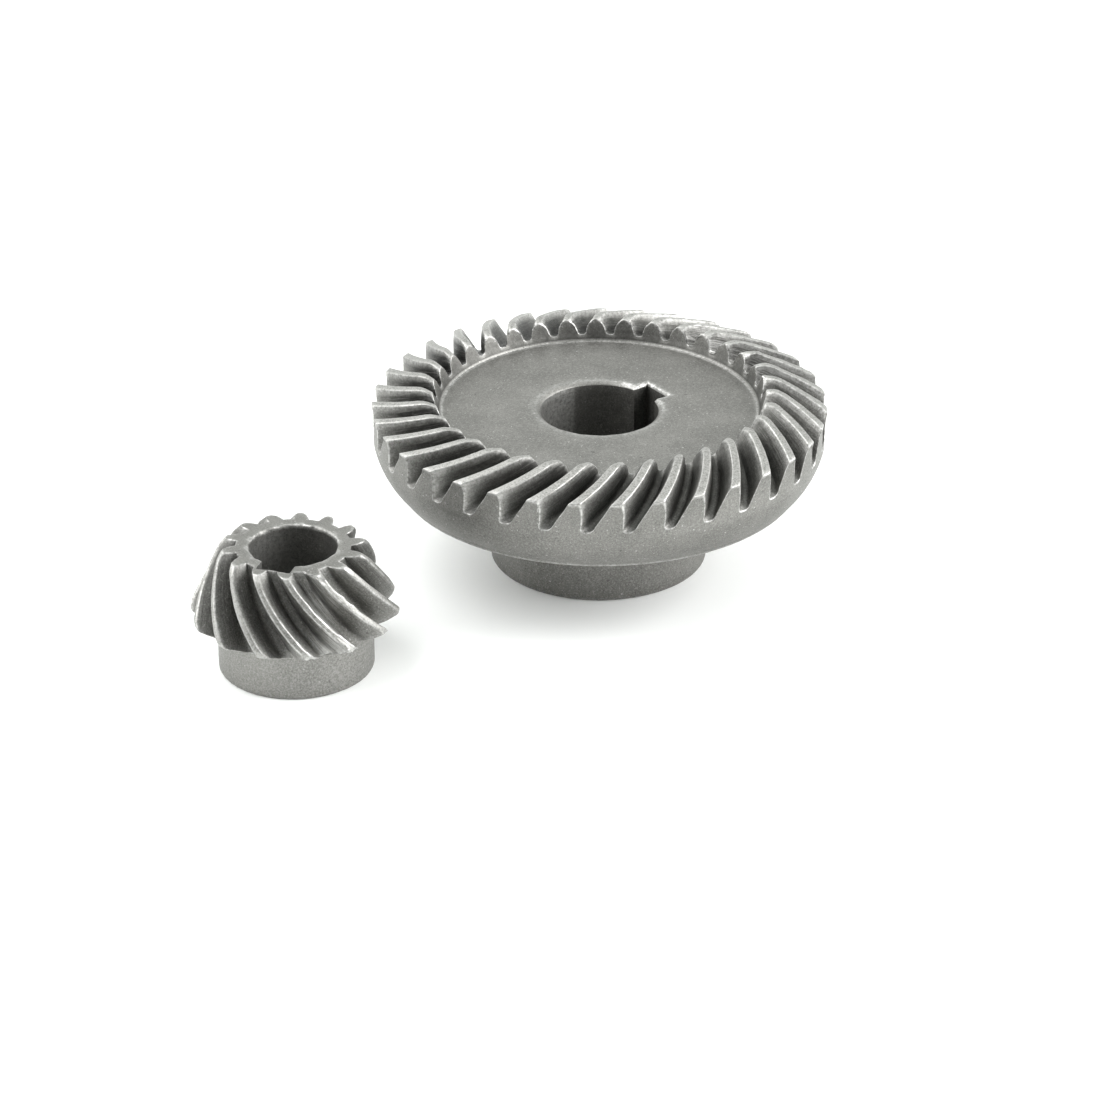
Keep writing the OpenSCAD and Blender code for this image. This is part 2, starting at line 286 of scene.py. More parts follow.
class ToothNet:
    """The columns of one gear's teeth, and where each of them ends at the toe and at the heel.

    Distances are from the gear's apex. depth is 0 at a column on the tip and 1 at the root,
    aside is how far it is from the middle of its tooth, and its dirt and painted shade come
    from its direction.
    least_r is the least radius in each direction, where a bore comes close to the teeth.
    """

    def __init__(self, teeth, toe, heel, tip_round, flank_points, end_round, grime_and_shade):
        self.teeth, self.toe, self.heel = teeth, toe, heel
        self.tip_round, self.end_round = tip_round, end_round
        self.t, self.turn, self.run, self.tooth, self.per_pitch = tooth_columns(
            teeth, tip_round, flank_points
        )
        self.depth = (teeth.tip - self.t) / (teeth.tip - teeth.root)
        self.land = np.clip(1 - self.depth / LAND_SHARE, 0, 1)
        from_middle = (self.turn - teeth.first_gap) % teeth.step - teeth.step / 2
        self.aside = np.clip(from_middle * MID_DIST * math.sin(teeth.tip), -ARCH_HALF, ARCH_HALF)
        self.ends = [self.end_of(toe), self.end_of(heel)]
        column = 2 * math.pi / len(self.t)
        start = self.floor_angle(self.ends[0])
        self.shift = round((self.floor_angle(self.ends[1]) - start) / column)
        index = np.arange(len(self.t)) - self.per_pitch // 2
        self.toe_turn = start + index * column
        self.heel_turn = self.toe_turn + self.shift * column
        self.grime_and_shade = grime_and_shade(self.heel_turn)
        self.least_r = lambda angle: 0.0

    def floor_angle(self, dist):
        """Turn of the middle of the first gap's floor at one end."""
        middle = self.per_pitch // 2
        return float(self.turn[middle] + self.teeth.length_turn(dist[middle]))

    def end_of(self, face):
        """Distance at which each column comes out of an end face."""
        corner_dist = math.hypot(face.r[0], self.teeth.mounting - face.z[0])
        lowered = self.lowered(self.t, face, 1.0, corner_dist)
        r, z = face.at(face.meets(lowered))
        return np.hypot(r, self.teeth.mounting - z)

    def lowered(self, t, face, near, dist):
        """Cone angles with the crest rounded off near an end; near is 0 to 1."""
        fall = face.drop * near**2.2 + face.bulge * self.aside**2 * near
        cap = self.teeth.tip - fall / dist
        soft = face.soft * np.maximum(near, 1e-4) / dist
        return np.minimum(t, cap) - soft * np.log1p(np.exp(-np.abs(t - cap) / soft))

    def cone_angle(self, dist):
        """Cone angle of each column at a distance, with both ends rounded off."""
        t = self.t
        for face, end in zip((self.toe, self.heel), self.ends):
            near = np.clip(1 - np.abs(dist - end) / face.reach, 0, 1)
            t = np.where(near > 0, self.lowered(t, face, near, dist), t)
        return t

    def on_tooth(self, dist):
        """Radius, height and direction of each column at a distance."""
        t = self.cone_angle(dist)
        r, z = dist * np.sin(t), self.teeth.mounting - dist * np.cos(t)
        angle = self.turn + self.teeth.length_turn(dist)
        return np.maximum(r, self.least_r(angle)), z, angle

    def past_on_flat(self, dist):
        """The points on a flat end face just past the teeth's edge, clear of the keyway."""
        r, z, angle = self.on_tooth(dist)
        edge = ring(r, z, angle)
        tangent = np.roll(edge, -1, axis=0) - np.roll(edge, 1, axis=0)
        tangent /= np.linalg.norm(tangent, axis=-1, keepdims=True)
        inward = np.stack([-tangent[:, 1], tangent[:, 0], np.zeros(len(r))], axis=-1)
        reach = np.minimum(self.end_round, 0.3 * (r - self.least_r(angle) + LEAST_WALL))
        return edge + inward * reach[:, None]

    def past_on_face(self, face, dist):
        """Distance down the face and turn of the points just past the teeth's edge."""
        r, _, angle = self.on_tooth(dist)
        along = face.meets(self.cone_angle(dist))
        dx = wrapped(np.roll(angle, -1) - np.roll(angle, 1)) * r.mean()
        dy = np.roll(along, 1) - np.roll(along, -1)
        size = np.hypot(dx, dy)
        return along + dx / size * self.end_round, angle + dy / size * self.end_round / r

    def base_angles(self, face, along, turn):
        """Turns on the base circle, even over each gap's floor and even over each tooth.

        Along and turn are the points past the teeth's edge. A steep flank's columns start past
        where the flank would come out, so none of them cross.
        """
        turn = turn.reshape(self.teeth.count, self.per_pitch)
        along = along.reshape(turn.shape)
        middle, half, step = self.per_pitch // 2, FLOOR_COLUMNS // 2, self.teeth.step

        def come_out(columns):
            low, high = columns[:-1], columns[1:]
            fall = np.maximum(along[:, low] - along[:, high], 0.02)
            slope = (turn[:, low] - turn[:, high]) / fall
            return turn[:, high] + slope * (face.length - along[:, high])

        up = np.arange(half - 1, half + FLANK_STEPS)
        left, right = come_out(middle - up).min(axis=1), come_out(middle + up).max(axis=1)
        left, right = left[:, None], right[:, None]
        over = self.per_pitch - 2 * half
        first, after = middle - half, middle + half + 1
        made = turn.copy()
        made[:, first:after] = left + (right - left) * np.linspace(0, 1, 2 * half + 1)
        tooth = right + (left + step - right) * np.arange(over + 1) / over
        kept = 1 + self.per_pitch - after
        made[:, after:] = tooth[:, 1:kept]
        made[:, :first] = tooth[:, kept:over] - step
        return made.ravel()

    def add(self, net, p, edge, land, marks, dist):
        """A row across all the teeth, at a distance that may differ from column to column."""
        # dirt and painted shade in the gaps, less of it near the heel
        heel_ease = 1 - HEEL_EASE * np.exp(-np.abs(self.ends[1] - dist) / HEEL_EASE_REACH)
        gap = np.minimum(2 * self.depth, FULL_GRIME_AND_SHADE) * self.grime_and_shade * heel_ease
        lay = (dist, self.run, TEETH_FROM + 1 + self.tooth * TOOTH_APART)
        net.add_points(p, edge, gap, land, marks, lay)

    def add_round(self, net, first, edge, last, dist):
        """Rows round the edge at one end of the teeth."""
        for u in EDGE_STEPS:
            p = (1 - u) ** 2 * first + 2 * u * (1 - u) * edge + u * u * last
            self.add(net, p, 1.0, 0.3 * self.land, 0.1, dist)

    def add_face(self, net, face, past, shares, name):
        """Rows of an end face: share 0 is at the points past the teeth's edge, 1 at the base."""
        past_along, past_turn = past
        base_turn = self.base_angles(face, past_along, past_turn)
        past_along = np.minimum(past_along, face.length * 0.97)
        for share in shares:
            along = past_along + (face.length - past_along) * share
            turn = past_turn + (base_turn - past_turn) * share
            r, z = face.at(along)
            # dirt and painted shade, growing towards the face's base
            grime_and_shade = face.grime_and_shade * share
            net.add(r, z, turn, edge=0.05, gap=grime_and_shade, marks=0.15, lay=(turn * r, z, name))

    def add_lengths(self, net, rows):
        """Rows along the teeth, closer together near both ends."""
        below_edge = (self.t - self.teeth.tip) * MID_DIST + 0.5 * self.tip_round
        worn = np.exp(-((below_edge / WORN_REACH) ** 2))
        worn = worn * (1 - 0.85 * self.teeth.land_middle(self.turn, self.tip_round))
        first, last = self.ends[0] + self.end_round, self.ends[1] - self.end_round
        for share in 0.5 - 0.5 * np.cos(np.linspace(0, math.pi, rows)):
            dist = first + (last - first) * share
            near_end = math.exp(-min(share, 1 - share) * 22)
            edge = np.clip(0.75 * worn + 0.45 * near_end, 0, 1)
            self.add(net, ring(*self.on_tooth(dist)), edge, self.land, 1 - self.land, dist)

    def add_all(self, net, rows):
        """Rows from the toe to the heel, with the end faces unless they are flat."""
        toe, heel = self.ends
        if self.toe.flat:
            past = self.past_on_flat(toe)
        else:
            spots = self.past_on_face(self.toe, toe)
            self.add_face(net, self.toe, spots, (1.0, 0.75, 0.5, 0.25, 0.1), TOE_FACE)
            past = ring(*self.toe.at(spots[0]), spots[1])
        edge, inside = ring(*self.on_tooth(toe)), ring(*self.on_tooth(toe + self.end_round))
        self.add(net, past, 0.55, 0, 0.1, toe)
        self.add_round(net, past, edge, inside, toe)
        self.add_lengths(net, rows)
        spots = self.past_on_face(self.heel, heel)
        past = ring(*self.heel.at(spots[0]), spots[1])
        edge, inside = ring(*self.on_tooth(heel)), ring(*self.on_tooth(heel - self.end_round))
        self.add_round(net, inside, edge, past, heel)
        self.add(net, past, 0.8, 0, 0.1, heel)
        self.add_face(net, self.heel, spots, (0.1, 0.3, 0.55, 0.8, 1.0), HEEL_FACE)


# ---------------------------------------------------------------- from the net to a mesh
def net_normals(p, shift):
    """The direction out of the skin at each point; the last row meets the first, shift on."""
    following, previous = np.roll(p, -1, axis=0), np.roll(p, 1, axis=0)
    following[-1] = np.roll(following[-1], -shift, axis=0)
    previous[0] = np.roll(previous[0], shift, axis=0)
    across = np.roll(p, -1, axis=1) - np.roll(p, 1, axis=1)
    normal = np.cross(following - previous, across)
    return normal / np.maximum(np.linalg.norm(normal, axis=-1, keepdims=True), 1e-12)


def net_quads(rows, columns, shift):
    """The four corners of every face; the last row meets the first, shift columns on."""
    row, column = np.indices((rows, columns))
    next_row, carried = (row + 1) % rows, np.where(row == rows - 1, shift, 0)

    def number(i, j):
        return i * columns + j % columns

    corners = [
        number(row, column),
        number(next_row, column + carried),
        number(next_row, column + 1 + carried),
        number(row, column + 1),
    ]
    return np.stack(corners, axis=-1).reshape(-1, 4)


def shell_mesh(name, net, axis, burr, damage):
    """The net as a mesh in the row frame, slightly uneven, and with burrs on its edges.

    burr: how far they stand out. damage: stretches of bruised and scored teeth, each with the
    direction of its centre and its half width in degrees, and its strength. The material
    reads how badly a flank is scored as score.
    """
    p, lays = np.array(net.rows), np.array(net.lays)
    edge, gap, land, marks = np.moveaxis(np.array(net.facts), -1, 0)
    angle = np.arctan2(p[..., 1], p[..., 0])
    dent = np.zeros(angle.shape)
    for centre, width, strength in damage:
        off = wrapped(angle - math.radians(centre))
        dent += strength * np.exp(-((off / math.radians(width)) ** 2))
    dent *= lays[..., 2] > TEETH_FROM
    soft = 0.008 * (lattice_noise(p, 2.6, 3) - 0.5) + 0.008 * (lattice_noise(p, 0.7, 5) - 0.5)
    rough = lattice_noise(p, 0.33, 11) * lattice_noise(p, 0.9, 12) * 2 - 0.35
    move = soft + burr * edge * (1 + 7 * dent) * rough
    p = p + net_normals(p, net.closing_shift) * move[..., None]
    p[..., 2] = np.maximum(p[..., 2], 0)
    uneven = 0.55 + 0.9 * lattice_noise(p, 1.1, 21)
    facts = {
        "edge": np.clip(edge * uneven * (1 + 0.4 * dent), 0, 1),
        "gap": gap,
        "land": land,
        "marks": marks,
        "score": 0.75 * dent * marks,
    }
    mesh = bpy.data.meshes.new(name)
    points = p.reshape(-1, 3) * MM + np.array([axis.x, axis.y, 0.0])
    quads = net_quads(*p.shape[:2], net.closing_shift)
    mesh.from_pydata(points.tolist(), [], quads.tolist())
    for label, values in facts.items():
        data = mesh.attributes.new(label, "FLOAT", "POINT").data
        data.foreach_set("value", values.astype(np.float32).ravel())
    data = mesh.attributes.new("lay", "FLOAT_VECTOR", "POINT").data
    data.foreach_set("vector", lays.astype(np.float32).ravel())
    made = bpy.data.objects.new(name, mesh)
    bpy.context.scene.collection.objects.link(made)
    return made


# ---------------------------------------------------------------- bore, keyway and hub
class KeyedBore:
    """The bore's outline with its keyway: each column is given a place on it by its turn."""

    def __init__(self, turn, bore_r, half_w, depth, key_turn):
        self.bore_r, self.half_w, self.depth, self.key_turn = bore_r, half_w, depth, key_turn
        rel = wrapped(turn - key_turn)
        self.side = np.sign(rel)
        away = np.abs(rel)
        outer, inner = math.atan2(half_w, bore_r + depth), math.asin(half_w / bore_r)
        self.on_end = away <= outer
        self.on_wall = (away > outer) & (away <= inner)
        self.on_round = away > inner
        self.share = np.zeros(len(turn))
        for side in (-1, 1):
            mine = self.on_end & (self.side == side)
            end = away[mine].max()
            self.share[mine] = away[mine] / end
            mine = self.on_wall & (self.side == side)
            mouth = away[mine].max()
            self.share[mine] = (away[mine] - end) / (mouth - end)
            mine = self.on_round & (self.side == side)
            self.share[mine] = (away[mine] - mouth) / (math.pi - mouth)

    def points(self, z, grow=0.0, key_grow=None):
        """Every column's point at height z, with the round and the keyway moved outwards."""
        key_grow = grow if key_grow is None else key_grow
        r = self.bore_r + grow
        half, far = self.half_w + key_grow, self.bore_r + self.depth + key_grow
        mouth = np.arcsin(half / r)
        turn = mouth + (math.pi - mouth) * self.share
        x = np.where(self.on_end, far, far + (r * np.cos(mouth) - far) * self.share)
        y = np.where(self.on_end, half * self.share, half) * self.side
        x = np.where(self.on_round, r * np.cos(turn), x)
        y = np.where(self.on_round, r * np.sin(turn) * self.side, y)
        c, s = math.cos(self.key_turn), math.sin(self.key_turn)
        return np.stack([x * c - y * s, x * s + y * c, z * np.ones_like(x)], axis=-1)

    def radius(self, turn):
        """Distance from the axis to the outline in each direction."""
        rel = wrapped(turn - self.key_turn)
        far = (self.bore_r + self.depth) / np.maximum(np.cos(rel), 1e-3)
        wall = self.half_w / np.maximum(np.abs(np.sin(rel)), 1e-3)
        notch = np.where(np.cos(rel) > 0, np.minimum(far, wall), 0)
        return np.maximum(self.bore_r, notch)


def add_bore(net, bore, heights, soft):
    """Rows up the wall of the bore and keyway; one side has painted light, the rest painted shade,
    and soft is how it fades.
    """
    x, y, _ = bore.points(0).T
    turn = np.arctan2(y, x)
    # painted light on one side of the wall, painted shade on the rest
    lit_side = 1 / (1 + np.exp((BORE_LIT_EDGE - np.cos(turn - BORE_LIT_TURN)) / soft))
    grime_and_shade = BORE_SHADE - BORE_SHADE * lit_side
    for z in heights:
        lay = (turn * bore.bore_r, z, BORE_WALL)
        net.add_points(bore.points(z), edge=0.5 * lit_side, gap=grime_and_shade, marks=0.3, lay=lay)


def add_hub(net, hub_r, turn, heights, rounding, land=0.0):
    """Rows down the side of the hub, with land painting a highlight on it, and round its lower
    edge as change of radius and height.
    """
    for z in heights:
        net.add(hub_r, z, turn, land=land, marks=0.3, lay=(turn * hub_r, z, HUB_SIDE))
    for dr, z in rounding:
        net.add(hub_r + dr, z, turn, edge=0.3, marks=0.1)


def add_hub_end(net, bore, outer_r, turn, shift):
    """Rows of the standing face, from the hub's edge in to the bore's chamfer.

    The teeth's spiral has carried the columns round by shift places, so they are taken back.
    """
    inner = np.roll(bore.points(0.0, 0.5), -shift, axis=0)
    outer = ring(outer_r, 0.0, turn)
    around = turn * outer_r
    for share in (0.3, 0.6, 0.85, 1.0):
        p = outer + (inner - outer) * share
        net.add_points(p, edge=0.3 * (share == 1), marks=0.4, lay=(around, share * 4, HUB_END))
    for grow, z in ((0.42, 0.0), (0.36, 0.03), (0.04, 0.36)):
        net.add_points(np.roll(bore.points(z, grow), -shift, axis=0), edge=0.4)
    net.closing_shift = shift


# ---------------------------------------------------------------- crown wheel
WHEEL_MOUNTING = 29.2
WHEEL_BORE_R, WHEEL_KEY_HALF, WHEEL_KEY_DEPTH = 7.0, 2.0, 1.7
WHEEL_KEY_TURN = math.radians(-2)
HUB_R = 12.9
WEB_R, WEB_Z = 18.7, 19.05
MOUTH_R, KEY_WEB_R = 9.0, 10.3  # middle and outside of the web round the keyed mouth
ROUND_WEB_R = 15.0  # from here out the web's columns are evenly spaced
BAND_R, BAND_LOW_Z = 26.7, 15.4
BOWL_BEND = (26.05, 12.65)
BOWL_LOW_R, BOWL_LOW_Z = 24.2, 10.4
# where the most painted shade is put in the wheel's gaps
WHEEL_SHADED_TURN = math.radians(105)
WHEEL_BURR = 0.03
# direction and half width in degrees, strength; the worst are the photograph's back right
WHEEL_DAMAGE = ((11, 15, 0.9), (-20, 17, 0.85), (55, 25, 0.2), (-52, 18, 0.35))


def wheel_grime_and_shade(turn):
    """Dirt and painted shade in the gaps by direction: more painted shade at the back left of the
    photograph.
    """
    return 1 + 0.5 * np.exp(-((wrapped(turn - WHEEL_SHADED_TURN) / 1.2) ** 2))


def wheel_teeth():
    """The wheel's teeth, from the slope inside them to the upright band outside."""
    teeth = Teeth(
        count=WHEEL_TEETH,
        mate=PINION_TEETH,
        addendum=WHEEL_ADDENDUM,
        dedendum=PINION_ADDENDUM + TIP_CLEARANCE,
        shift=-THICKNESS_SHIFT,
        hand=1,
        tooth_turn=5.2,
        mounting=WHEEL_MOUNTING,
    )
    pitch_r = WHEEL_TEETH * HEEL_MODULE / 2
    heel_tip = np.array([pitch_r, WHEEL_MOUNTING - pitch_r / math.tan(teeth.pitch)])
    heel_tip = heel_tip + WHEEL_ADDENDUM * np.array([math.cos(teeth.pitch), math.sin(teeth.pitch)])
    apex = np.array([0, WHEEL_MOUNTING])
    toe_tip = apex + (heel_tip - apex) * TOE_DIST / HEEL_DIST
    toe_root = (WEB_R + 0.5, WHEEL_MOUNTING - (WEB_R + 0.5) / math.tan(teeth.root))
    slope_low = (WEB_R + 0.22, WEB_Z + 0.34)
    inside = [toe_tip, toe_root, slope_low]
    outside = [heel_tip, (BAND_R, heel_tip[1] - 0.4), (BAND_R, BAND_LOW_Z)]
    toe = EndFace(inside, WHEEL_MOUNTING, drop=0.7, reach=1.6, soft=0.25, bulge=0.8, grime_and_shade=0.22)
    heel = EndFace(outside, WHEEL_MOUNTING, drop=0.1, reach=0.35, soft=0.1)
    return ToothNet(
        teeth, toe, heel, tip_round=0.15, flank_points=2, end_round=0.09, grime_and_shade=wheel_grime_and_shade
    )


def add_wheel_mouth(net, bore, turn):
    """Rows over the ragged upper mouth of the bore, worn most beside the keyway."""
    near_key = 0.85 * np.exp(-((wrapped(turn - WHEEL_KEY_TURN) / 0.6) ** 2))
    ragged = 0.6 + 0.8 * lattice_noise(bore.points(0.0), 0.8, 41)
    for grow, key_grow, drop, worn in (
        (0.02, 0.01, 0.34, 0.0),
        (0.18, 0.06, 0.22, 0.0),
        (0.34, 0.12, 0.11, 0.1),
        (0.46, 0.20, 0.03, 0.2),
        (0.52, 0.28, 0.00, 0.35),
    ):
        p = bore.points(WEB_Z - drop, grow * (0.7 + 0.3 * ragged), key_grow * ragged)
        net.add_points(p, edge=np.clip(worn + near_key, 0, 1))


def add_web(net, bore, turn):
    """Rows over the flat web, from the bore's mouth to the bead round its edge."""
    inner = bore.points(WEB_Z, 0.85, 0.55)
    aside = wrapped(np.arctan2(inner[:, 1], inner[:, 0]) - turn)
    outer = ring(KEY_WEB_R, WEB_Z, turn + aside)
    for share in (0, 0.12, 0.28, 0.46, 0.65, 0.84, 1):
        p, lay = inner + (outer - inner) * share, (turn * MOUTH_R, 8 + share * 2, TOP_FACE)
        net.add_points(p, edge=0.3 * math.exp(-share * 7), marks=0.06, lay=lay)
    for radius in (11.5, 13.2, 15.0, 16.8, 18.1):
        lined = turn + aside * max(0, (ROUND_WEB_R - radius) / 5)
        net.add(radius, WEB_Z, lined, marks=0.06, lay=(turn * radius, radius, TOP_FACE))
    for dr, dz, worn in (
        (-0.26, 0.0, 0.1),
        (-0.18, 0.02, 0.35),
        (-0.10, 0.05, 0.6),
        (-0.02, 0.065, 0.7),
        (0.05, 0.07, 0.55),
        (0.10, 0.12, 0.25),
        (0.16, 0.22, 0.1),
    ):
        net.add(WEB_R + dr, WEB_Z + dz, turn, edge=worn, lay=(turn * WEB_R, dr, TOP_FACE))


def add_bowl(net, turn):
    """Rows down the bowl below the band, round its lower edge and in under it to the hub."""
    low = (BOWL_LOW_R, BOWL_LOW_Z + 0.5)
    for u in (0.06, 0.16, 0.28, 0.42, 0.56, 0.7, 0.85, 1.0):
        radius, z = bezier((BAND_R, BAND_LOW_Z), BOWL_BEND, low, u)
        net.add(radius, z, turn, marks=0.22, lay=(turn * radius, 6 * u, BOWL_SIDE))
    for u in EDGE_STEPS + (1.0,):
        corner, end = (BOWL_LOW_R - 0.08, BOWL_LOW_Z + 0.05), (BOWL_LOW_R - 0.5, BOWL_LOW_Z)
        radius, z = bezier(low, corner, end, u)
        net.add(radius, z, turn, edge=0.5 - 0.3 * abs(u - 0.5), marks=0.1)
    for radius in (23.3, 20, 16.5, 13.4):
        net.add(radius, BOWL_LOW_Z, turn, marks=0.25, lay=(turn * radius, radius, BOWL_BASE))
    net.add(HUB_R + 0.09, BOWL_LOW_Z - 0.09, turn, marks=0.2)


def crown_wheel(axis):
    """The wheel's skin: bore, mouth, web, teeth, bowl and hub, round its axis."""
    toothed = wheel_teeth()
    net = Net(len(toothed.t))
    turn = toothed.toe_turn
    bore = KeyedBore(turn, WHEEL_BORE_R, WHEEL_KEY_HALF, WHEEL_KEY_DEPTH, WHEEL_KEY_TURN)
    add_bore(net, bore, (0.4, 3.5, 7, 10.5, 14, 16.5, 17.7, WEB_Z - 0.40), soft=0.015)
    add_wheel_mouth(net, bore, turn)
    add_web(net, bore, turn)
    toothed.add_all(net, rows=17)
    turn = toothed.heel_turn
    add_bowl(net, turn)
    heights = (BOWL_LOW_Z - 0.3, 8.4, 6.3, 4.2, 2.2, 0.9, 0.4)
    rounding = ((-0.03, 0.22), (-0.11, 0.1), (-0.25, 0.015), (-0.42, 0.0))
    add_hub(net, HUB_R, turn, heights, rounding)
    add_hub_end(net, bore, HUB_R - 0.5, turn, toothed.shift)
    return shell_mesh("crown_wheel_skin", net, axis, WHEEL_BURR, WHEEL_DAMAGE)


# ---------------------------------------------------------------- pinion
PINION_MOUNTING = 32.8
PINION_BORE_R, PINION_KEY_HALF, PINION_KEY_DEPTH = 5.0, 2.0, 1.4
PINION_KEY_TURN = math.radians(-146)
PINION_HUB_R = 8.9
PINION_HEIGHT = 15.0
PINION_CORE_R = 6.55
PINION_MOUTH_R = 6.0  # about the middle of the top's ring
TOP_R = 5.9  # inner end of the top face's line, inside the tooth roots
# where the pinion's gaps are painted lighter
PINION_LIT_TURN = math.radians(-55)
PINION_BURR = 0.05
PINION_DAMAGE = ((-103, 20, 1.0),)


def pinion_grime_and_shade(turn):
    """Dirt and painted shade in the gaps by direction: less at the right of the photograph, as
    painted light.
    """
    return 0.68 - 0.45 * np.exp(-((wrapped(turn - PINION_LIT_TURN) / 0.6) ** 2))


def pinion_teeth():
    """The pinion's teeth, cut off flat at the top and ending in the air above the hub."""
    teeth = Teeth(
        count=PINION_TEETH,
        mate=WHEEL_TEETH,
        addendum=PINION_ADDENDUM,
        dedendum=WHEEL_ADDENDUM + TIP_CLEARANCE,
        shift=THICKNESS_SHIFT,
        hand=-1,
        tooth_turn=-5.6,
        mounting=PINION_MOUNTING,
    )
    pitch_r = PINION_TEETH * HEEL_MODULE / 2
    pitch_point = np.array([pitch_r, PINION_MOUNTING - pitch_r / math.tan(teeth.pitch)])
    back = np.array([math.cos(teeth.pitch), math.sin(teeth.pitch)])
    heel_tip = pitch_point + PINION_ADDENDUM * back
    heel_root = pitch_point - (WHEEL_ADDENDUM + TIP_CLEARANCE) * back
    top_tip = ((PINION_MOUNTING - PINION_HEIGHT) * math.tan(teeth.tip), PINION_HEIGHT)
    level = [top_tip, (TOP_R, PINION_HEIGHT)]
    behind = [heel_tip, (PINION_HUB_R, heel_root[1] - 0.3)]
    top = EndFace(level, PINION_MOUNTING, drop=0.1, reach=1.0, soft=0.32, flat=True)
    heel = EndFace(behind, PINION_MOUNTING, drop=0.4, reach=0.9, soft=0.2)
    return ToothNet(
        teeth, top, heel, tip_round=0.2, flank_points=7, end_round=0.1, grime_and_shade=pinion_grime_and_shade
    )


def add_pinion_top(net, bore, rim, turn):
    """Rows over the flat top, from the ragged mouth of the bore to the rim below the teeth."""
    ragged = 0.4 + 1.1 * lattice_noise(bore.points(0.0), 0.7, 43)
    patchy = np.clip(1.6 * lattice_noise(bore.points(0.0), 1.6, 99) - 0.2, 0.15, 1)
    inner = bore.points(PINION_HEIGHT)
    for share, drop, worn in (
        (0, 0.3, 0.6),
        (0.03, 0.14, 1.0),
        (0.07, 0.03, 0.9),
        (0.12, 0, 0.6),
        (0.25, 0, 0.1),
        (0.45, 0, 0),
        (0.65, 0, 0),
        (0.85, 0, 0.1),
    ):
        p = inner + (rim - inner) * share
        p[:, 2] = PINION_HEIGHT - drop * ragged
        lay = (turn * PINION_MOUTH_R, share * 2, TOP_FACE)
        net.add_points(p, edge=worn * patchy, marks=0.1, lay=lay)


def pinion(axis):
    """The pinion's skin: bore, top, teeth and hub, round its axis."""
    toothed = pinion_teeth()
    net = Net(len(toothed.t))
    turn = toothed.toe_turn
    bore = KeyedBore(turn, PINION_BORE_R, PINION_KEY_HALF, PINION_KEY_DEPTH, PINION_KEY_TURN)
    toothed.least_r = lambda angle: np.maximum(PINION_CORE_R, bore.radius(angle) + LEAST_WALL)
    add_bore(net, bore, (0.4, 2.5, 5, 7.5, 10, 12.5, 14.0, PINION_HEIGHT - 0.5), soft=0.35)
    add_pinion_top(net, bore, toothed.past_on_flat(toothed.ends[0]), turn)
    toothed.add_all(net, rows=34)
    turn = toothed.heel_turn
    heights = (5.2, 4.4, 3.4, 2.4, 1.4, 0.8, 0.4)
    rounding = ((-0.03, 0.2), (-0.1, 0.08), (-0.22, 0.01), (-0.36, 0.0))
    # land paints a highlight on the pinion's hub
    add_hub(net, PINION_HUB_R, turn, heights, rounding, land=0.55)
    add_hub_end(net, bore, PINION_HUB_R - 0.45, turn, toothed.shift)
    return shell_mesh("pinion_skin", net, axis, PINION_BURR, PINION_DAMAGE)


# ---------------------------------------------------------------- materials
class Graph:
    """A short way to write a node tree."""

    def __init__(self, name):
        self.material = bpy.data.materials.new(name)
        self.material.use_nodes = True
        self.tree = self.material.node_tree
        self.shader = self.tree.nodes["Principled BSDF"]

    def node(self, kind, inputs=(), **settings):
        made = self.tree.nodes.new(kind)
        for key, value in settings.items():
            setattr(made, key, value)
        for key, value in dict(inputs).items():
            self.feed(made.inputs[key], value)
        return made

    def feed(self, socket, value):
        if isinstance(value, bpy.types.NodeSocket):
            self.tree.links.new(value, socket)
        else:
            socket.default_value = value

    def math(self, operation, a, b=0.0, clamp=False):
        made = self.node("ShaderNodeMath", {0: a, 1: b}, operation=operation, use_clamp=clamp)
        return made.outputs[0]

    def attribute(self, name, output="Fac"):
        return self.node("ShaderNodeAttribute", attribute_name=name).outputs[output]

    def noise(self, vector, scale, detail=3.0, rough=0.55):
        inputs = {"Vector": vector, "Scale": scale, "Detail": detail, "Roughness": rough}
        return self.node("ShaderNodeTexNoise", inputs).outputs["Fac"]

    def ramp(self, value, low, high, to_low=0.0, to_high=1.0):
        inputs = {0: value, 1: low, 2: high, 3: to_low, 4: to_high}
        return self.node("ShaderNodeMapRange", inputs, clamp=True).outputs[0]

    def mix(self, share, a, b):
        made = self.node("ShaderNodeMix", {0: share, 6: a, 7: b}, data_type="RGBA")
        return made.outputs[2]

    def bump(self, height, strength, distance, normal=None):
        inputs = {"Height": height, "Strength": strength, "Distance": distance}
        if normal is not None:
            inputs["Normal"] = normal
        return self.node("ShaderNodeBump", inputs).outputs[0]


STEEL_DARK, STEEL_PALE = (0.168, 0.166, 0.156, 1), (0.212, 0.209, 0.197, 1)
GRAIN = (0.37, 0.365, 0.348, 1)
SPECK = (0.040, 0.039, 0.036, 1)
PIT = (0.060, 0.058, 0.054, 1)
# painted highlight for the glints
GLINT = (0.62, 0.615, 0.60, 1)
# dirt and painted shade in the gaps, at the toe's base and in the bore
GRIME_AND_SHADE, DEEP_GRIME_AND_SHADE = (0.058, 0.057, 0.053, 1), (0.026, 0.0255, 0.024, 1)
STREAK = (0.22, 0.217, 0.206, 1)
SCORE = (0.58, 0.575, 0.56, 1)
# painted highlight on each land and on the pinion's hub
LAND_HIGHLIGHT = (0.39, 0.385, 0.37, 1)
# worn and burred edges, and painted light on one side of the bore
WORN_AND_LIT = (0.60, 0.595, 0.58, 1)


